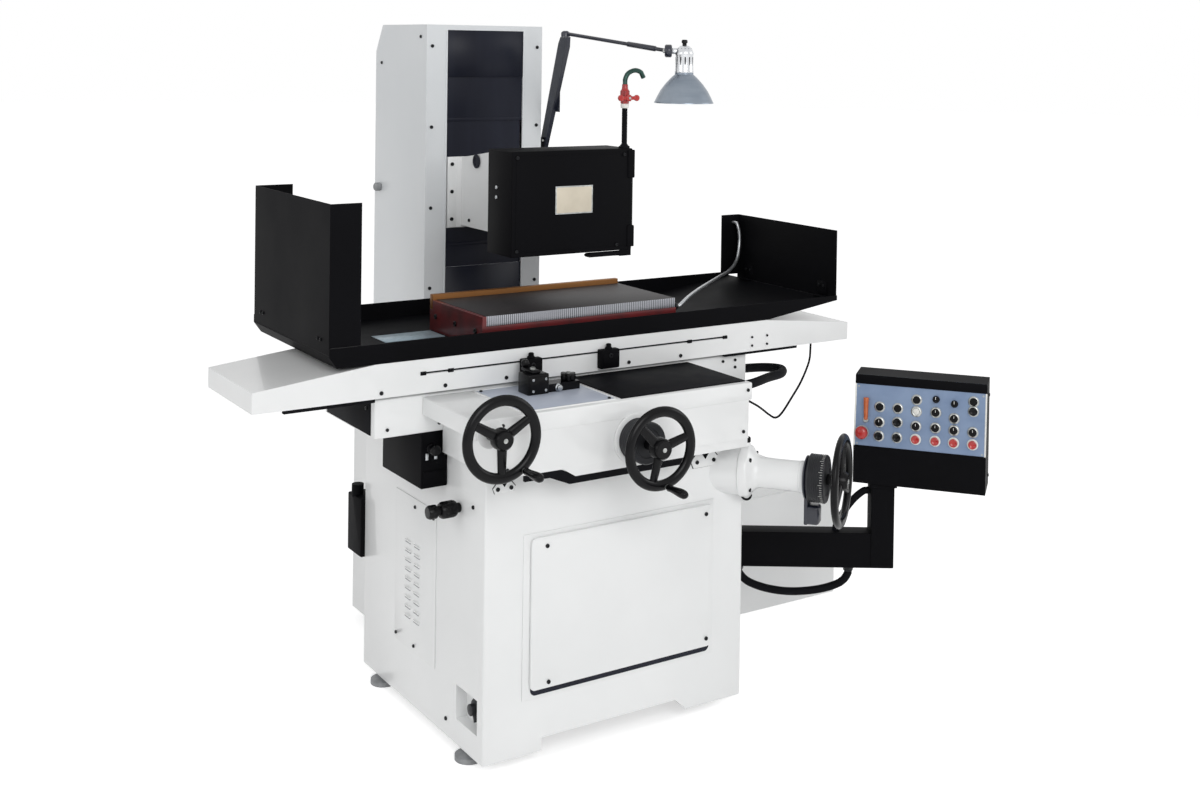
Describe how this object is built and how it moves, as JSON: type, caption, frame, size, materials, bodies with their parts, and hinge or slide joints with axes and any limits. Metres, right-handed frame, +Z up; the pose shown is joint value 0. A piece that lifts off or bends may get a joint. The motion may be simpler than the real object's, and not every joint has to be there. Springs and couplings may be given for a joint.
{
  "type": "surface grinder",
  "caption": "Saddle-type precision surface grinder with magnetic chuck, splash guards, column-mounted wheel head, handwheels, work lamp, coolant tank and swinging control pendant.",
  "frame": {"origin": "on the floor, at the centre of the machine's bounding box footprint", "axes": "+X to the right along the table, -Y towards the operator, +Z up"},
  "size_m": [2.0724, 1.4121, 1.815],
  "materials": {
    "enamel": "gloss machine enamel",
    "black_sheet": "black textured paint",
    "navy_plate": "satin blue-black",
    "steel": "ground",
    "cast_iron": "machined and oiled",
    "chuck_red": "satin red",
    "brass": "machined",
    "phenolic": "moulded black",
    "wheel_iron": "black enamelled",
    "rubber": "smooth black",
    "abrasive": "vitrified grit",
    "red_plastic": "gloss red",
    "black_plastic": "gloss black",
    "amber_plastic": "gloss amber",
    "conduit": "bright woven steel",
    "lamp_alloy": "spun, blue-grey"
  },
  "bodies": {
    "base": {"base_casting": "enamel", "front_cover_plate": "enamel", "louvre_panel": "enamel", "column_casting": "cast_iron", "column_cover": "enamel", "coolant_tank": "enamel", "feed_housing": "enamel", "lamp_bracket": "black_sheet", "rear_box": "black_sheet"},
    "saddle": {"saddle_casting": "enamel", "apron": "enamel", "valve_box": "black_sheet", "reversing_block": "black_sheet", "bent_hose": "rubber"},
    "table": {"table": "enamel", "splash_pan": "black_sheet", "guard_left": "black_sheet", "guard_right": "black_sheet", "chuck_body": "chuck_red", "pole_plate": "steel", "stop_rail": "brass", "dog_left": "black_sheet", "dog_right": "black_sheet", "chuck_cable": "conduit", "table_cable": "rubber"},
    "head": {"head_casting": "enamel", "wheel_guard": "black_sheet", "coolant_line": "rubber"},
    "upper_plate": {"way_plate_upper": "navy_plate"},
    "lower_plate": {"way_plate_lower": "navy_plate"},
    "wheel": {"spindle": "steel", "grinding_wheel": "abrasive"},
    "screw": {"elevation_screw": "steel"},
    "traverse_wheel": {"traverse_wheel": "wheel_iron"},
    "traverse_grip": {"traverse_grip": "phenolic"},
    "cross_wheel": {"cross_wheel": "wheel_iron"},
    "cross_grip": {"cross_grip": "phenolic"},
    "feed_wheel": {"feed_wheel": "wheel_iron"},
    "feed_lever": {"feed_lever": "wheel_iron"},
    "valve_lever": {"valve_lever": "red_plastic"},
    "reversing_lever": {"reversing_lever": "black_sheet"},
    "stroke_knob": {"stroke_knob": "phenolic"},
    "wall_knob": {"wall_knob": "phenolic"},
    "lamp_lower_arm": {"lamp_lower_arm": "black_sheet"},
    "lamp_upper_arm": {"lamp_upper_arm": "black_sheet"},
    "lamp_shade": {"lamp_shade": "lamp_alloy"},
    "pendant_arm": {"pendant_arm": "black_sheet"},
    "console": {"console": "black_sheet"},
    "amber_lever": {"amber_lever": "amber_plastic"},
    "stop_button": {"stop_button": "red_plastic"},
    "selector_1": {"selector_1": "phenolic"},
    "selector_2": {"selector_2": "phenolic"},
    "button_red_1": {"button_red_1": "red_plastic"},
    "button_red_2": {"button_red_2": "red_plastic"},
    "button_red_3": {"button_red_3": "red_plastic"},
    "button_red_4": {"button_red_4": "red_plastic"},
    "button_black_1": {"button_black_1": "black_plastic"},
    "button_black_2": {"button_black_2": "black_plastic"},
    "button_black_3": {"button_black_3": "black_plastic"},
    "button_black_4": {"button_black_4": "black_plastic"}
  },
  "joints": [
    {"name": "saddle_cross", "type": "slide", "parent": "base", "child": "saddle", "axis": [0, 1, 0], "range_m": [-0.24, 0.05]},
    {"name": "table_traverse", "type": "slide", "parent": "saddle", "child": "table", "axis": [1, 0, 0], "range_m": [-0.3, 0.3], "deforming": ["table_cable"]},
    {"name": "head_elevate", "type": "slide", "parent": "base", "child": "head", "axis": [0, 0, 1], "range_m": [-0.08, 0.18]},
    {"name": "upper_plate_slide", "type": "slide", "parent": "base", "child": "upper_plate", "axis": [0, 0, 1], "range_m": [-0.04, 0.09]},
    {"name": "lower_plate_slide", "type": "slide", "parent": "base", "child": "lower_plate", "axis": [0, 0, 1], "range_m": [-0.04, 0.09]},
    {"name": "wheel_spin", "type": "hinge", "parent": "head", "child": "wheel", "pos_m": [-0.14675, -0.11892, 1.334], "axis": [0, 1, 0], "continuous": true},
    {"name": "screw_turn", "type": "hinge", "parent": "base", "child": "screw", "pos_m": [-0.12875, 0.47908, 0.8], "axis": [0, 0, 1], "continuous": true},
    {"name": "traverse_wheel_turn", "type": "hinge", "parent": "saddle", "child": "traverse_wheel", "pos_m": [-0.55875, -0.55092, 0.859], "axis": [0, -1, 0], "continuous": true},
    {"name": "traverse_grip_turn", "type": "hinge", "parent": "traverse_wheel", "child": "traverse_grip", "pos_m": [-0.50569, -0.55092, 0.78323], "axis": [0, -1, 0], "continuous": true},
    {"name": "cross_wheel_turn", "type": "hinge", "parent": "saddle", "child": "cross_wheel", "pos_m": [-0.15175, -0.60092, 0.794], "axis": [0, -1, 0], "continuous": true},
    {"name": "cross_grip_turn", "type": "hinge", "parent": "cross_wheel", "child": "cross_grip", "pos_m": [-0.13888, -0.60092, 0.7024], "axis": [0, -1, 0], "continuous": true},
    {"name": "feed_wheel_turn", "type": "hinge", "parent": "base", "child": "feed_wheel", "pos_m": [0.4054, -0.62774, 0.64], "axis": [0.6157, -0.788, 0], "continuous": true},
    {"name": "feed_lever_turn", "type": "hinge", "parent": "base", "child": "feed_lever", "pos_m": [0.34691, -0.55288, 0.64], "axis": [0.6157, -0.788, 0], "range_deg": [-30, 30]},
    {"name": "valve_turn", "type": "hinge", "parent": "head", "child": "valve_lever", "pos_m": [0.02125, -0.17892, 1.62], "axis": [0, 1, 0], "range_deg": [0, 90]},
    {"name": "reversing_turn", "type": "hinge", "parent": "saddle", "child": "reversing_lever", "pos_m": [-0.34075, -0.31092, 0.946], "axis": [0, 0, 1], "range_deg": [-15, 15]},
    {"name": "stroke_turn", "type": "hinge", "parent": "saddle", "child": "stroke_knob", "pos_m": [-0.23675, -0.31092, 0.912], "axis": [0, 0, 1], "range_deg": [-150, 150]},
    {"name": "wall_knob_turn", "type": "hinge", "parent": "base", "child": "wall_knob", "pos_m": [-0.51875, -0.26992, 0.621], "axis": [1, 0, 0], "range_deg": [-135, 135]},
    {"name": "lamp_tilt", "type": "hinge", "parent": "base", "child": "lamp_lower_arm", "pos_m": [0.08425, 0.36608, 1.46], "axis": [1, 0, 0], "range_deg": [-10, 15]},
    {"name": "lamp_elbow", "type": "hinge", "parent": "lamp_lower_arm", "child": "lamp_upper_arm", "pos_m": [0.08425, 0.25108, 1.785], "axis": [0, 0, 1], "range_deg": [0, 70]},
    {"name": "shade_tilt", "type": "hinge", "parent": "lamp_upper_arm", "child": "lamp_shade", "pos_m": [0.19725, -0.11792, 1.748], "axis": [0.8, -0.6, 0], "range_deg": [-20, 20]},
    {"name": "pendant_swing", "type": "hinge", "parent": "base", "child": "pendant_arm", "pos_m": [0.31625, -0.15592, 0.35], "axis": [0, 0, 1], "range_deg": [0, 30]},
    {"name": "console_swivel", "type": "hinge", "parent": "pendant_arm", "child": "console", "pos_m": [0.73511, -0.42897, 0.543], "axis": [0, 0, 1], "range_deg": [-30, 30]},
    {"name": "amber_lever_turn", "type": "hinge", "parent": "console", "child": "amber_lever", "pos_m": [0.67994, -0.42218, 0.71986], "axis": [-0.7683, -0.6221, 0.1505], "range_deg": [-20, 20]},
    {"name": "stop_push", "type": "slide", "parent": "console", "child": "stop_button", "axis": [0.7683, 0.6221, -0.1505], "range_m": [0, 0.005]},
    {"name": "selector_1_turn", "type": "hinge", "parent": "console", "child": "selector_1", "pos_m": [0.80853, -0.56381, 0.79078], "axis": [-0.7683, -0.6221, 0.1505], "range_deg": [-45, 45]},
    {"name": "selector_2_turn", "type": "hinge", "parent": "console", "child": "selector_2", "pos_m": [0.83907, -0.60343, 0.7829], "axis": [-0.7683, -0.6221, 0.1505], "range_deg": [-45, 45]},
    {"name": "button_red_1_push", "type": "slide", "parent": "console", "child": "button_red_1", "axis": [0.7683, 0.6221, -0.1505], "range_m": [0, 0.004], "stiffness_N_per_m": 500, "springref_m": -0.002},
    {"name": "button_red_2_push", "type": "slide", "parent": "console", "child": "button_red_2", "axis": [0.7683, 0.6221, -0.1505], "range_m": [0, 0.004], "stiffness_N_per_m": 500, "springref_m": -0.002},
    {"name": "button_red_3_push", "type": "slide", "parent": "console", "child": "button_red_3", "axis": [0.7683, 0.6221, -0.1505], "range_m": [0, 0.004], "stiffness_N_per_m": 500, "springref_m": -0.002},
    {"name": "button_red_4_push", "type": "slide", "parent": "console", "child": "button_red_4", "axis": [0.7683, 0.6221, -0.1505], "range_m": [0, 0.004], "stiffness_N_per_m": 500, "springref_m": -0.002},
    {"name": "button_black_1_push", "type": "slide", "parent": "console", "child": "button_black_1", "axis": [0.7683, 0.6221, -0.1505], "range_m": [0, 0.004], "stiffness_N_per_m": 500, "springref_m": -0.002},
    {"name": "button_black_2_push", "type": "slide", "parent": "console", "child": "button_black_2", "axis": [0.7683, 0.6221, -0.1505], "range_m": [0, 0.004], "stiffness_N_per_m": 500, "springref_m": -0.002},
    {"name": "button_black_3_push", "type": "slide", "parent": "console", "child": "button_black_3", "axis": [0.7683, 0.6221, -0.1505], "range_m": [0, 0.004], "stiffness_N_per_m": 500, "springref_m": -0.002},
    {"name": "button_black_4_push", "type": "slide", "parent": "console", "child": "button_black_4", "axis": [0.7683, 0.6221, -0.1505], "range_m": [0, 0.004], "stiffness_N_per_m": 500, "springref_m": -0.002}
  ],
  "couplings": [
    {"joint": "upper_plate_slide", "follows": "head_elevate", "ratio": 0.5},
    {"joint": "lower_plate_slide", "follows": "head_elevate", "ratio": 0.5},
    {"joint": "screw_turn", "follows": "head_elevate", "rad_per_m": 314.16},
    {"joint": "feed_wheel_turn", "follows": "head_elevate", "rad_per_m": 314.16},
    {"joint": "traverse_wheel_turn", "follows": "table_traverse", "rad_per_m": 104.72},
    {"joint": "cross_wheel_turn", "follows": "saddle_cross", "rad_per_m": 314.16}
  ]
}
